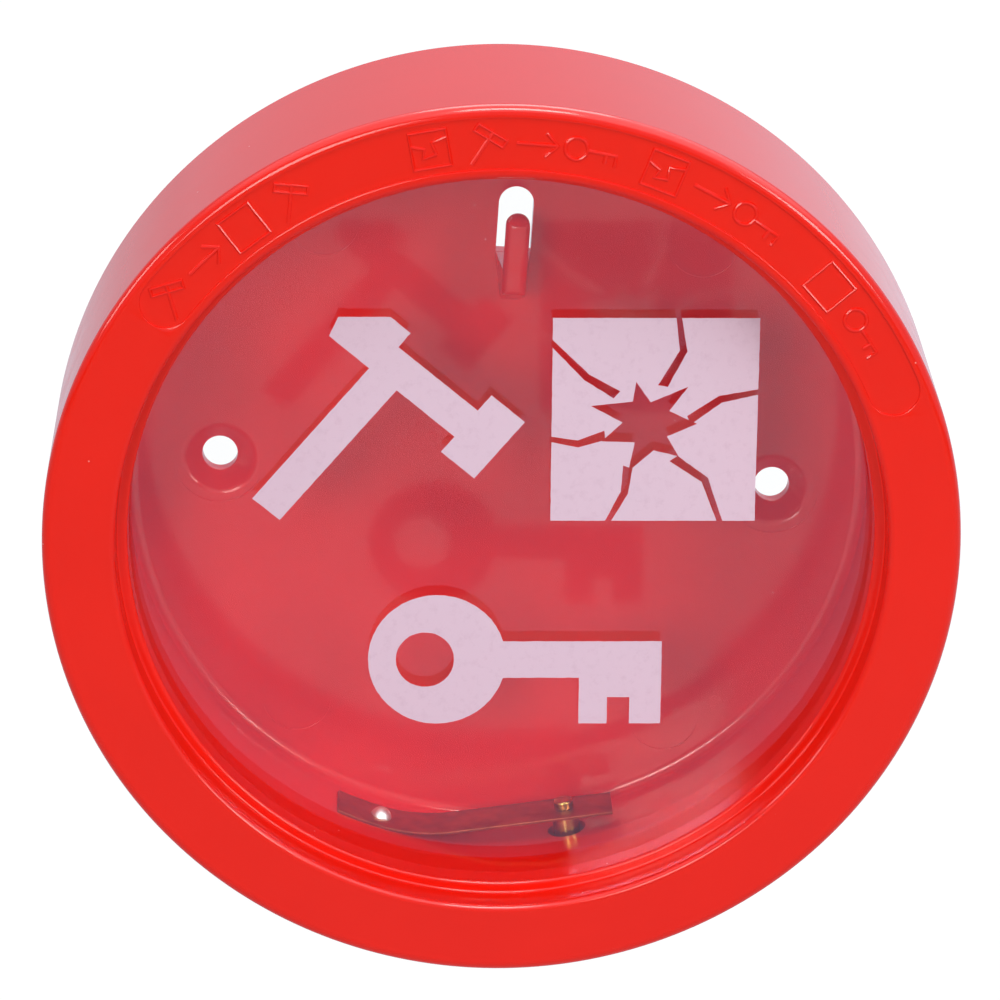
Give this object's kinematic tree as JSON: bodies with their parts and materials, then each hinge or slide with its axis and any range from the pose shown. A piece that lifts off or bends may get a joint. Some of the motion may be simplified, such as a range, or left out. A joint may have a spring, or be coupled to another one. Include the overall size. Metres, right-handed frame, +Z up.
{
  "type": "break glass key box",
  "caption": "Round wall box that keeps a key on a hook behind a breakable glass disc, with a lift-off ring cover held by an inner leaf-spring catch.",
  "frame": {"origin": "on the box's axis, in the plane of the wall, midway between the two wall screws", "axes": "+Z up, -Y out of the wall towards the viewer (the box's axis is along Y), +X to the viewer's right; the screw holes lie along X and the key hook is at the top"},
  "size_m": [0.121, 0.037, 0.121],
  "materials": {
    "back_housing": "gloss, moulded",
    "front_cover": "gloss, moulded",
    "glass_disc": "clear, ground edge",
    "leaf_spring": "rolled phosphor bronze",
    "spring_rivet": "nickel plated steel",
    "catch_stud": "turned"
  },
  "bodies": {
    "housing": {"back_housing": "back_housing", "leaf_spring": "leaf_spring", "spring_rivet": "spring_rivet"},
    "cover": {"front_cover": "front_cover", "glass_disc": "glass_disc"},
    "catch": {"catch_stud": "catch_stud"}
  },
  "joints": [
    {"name": "cover_slide", "type": "slide", "parent": "housing", "child": "cover", "axis": [0, -1, 0], "range_m": [0, 0.04]},
    {"name": "catch_press", "type": "slide", "parent": "housing", "child": "catch", "axis": [-0.1908, 0, 0.9816], "range_m": [-0.002, 0.0008], "stiffness_N_per_m": 850, "deforming": ["leaf_spring"]}
  ]
}
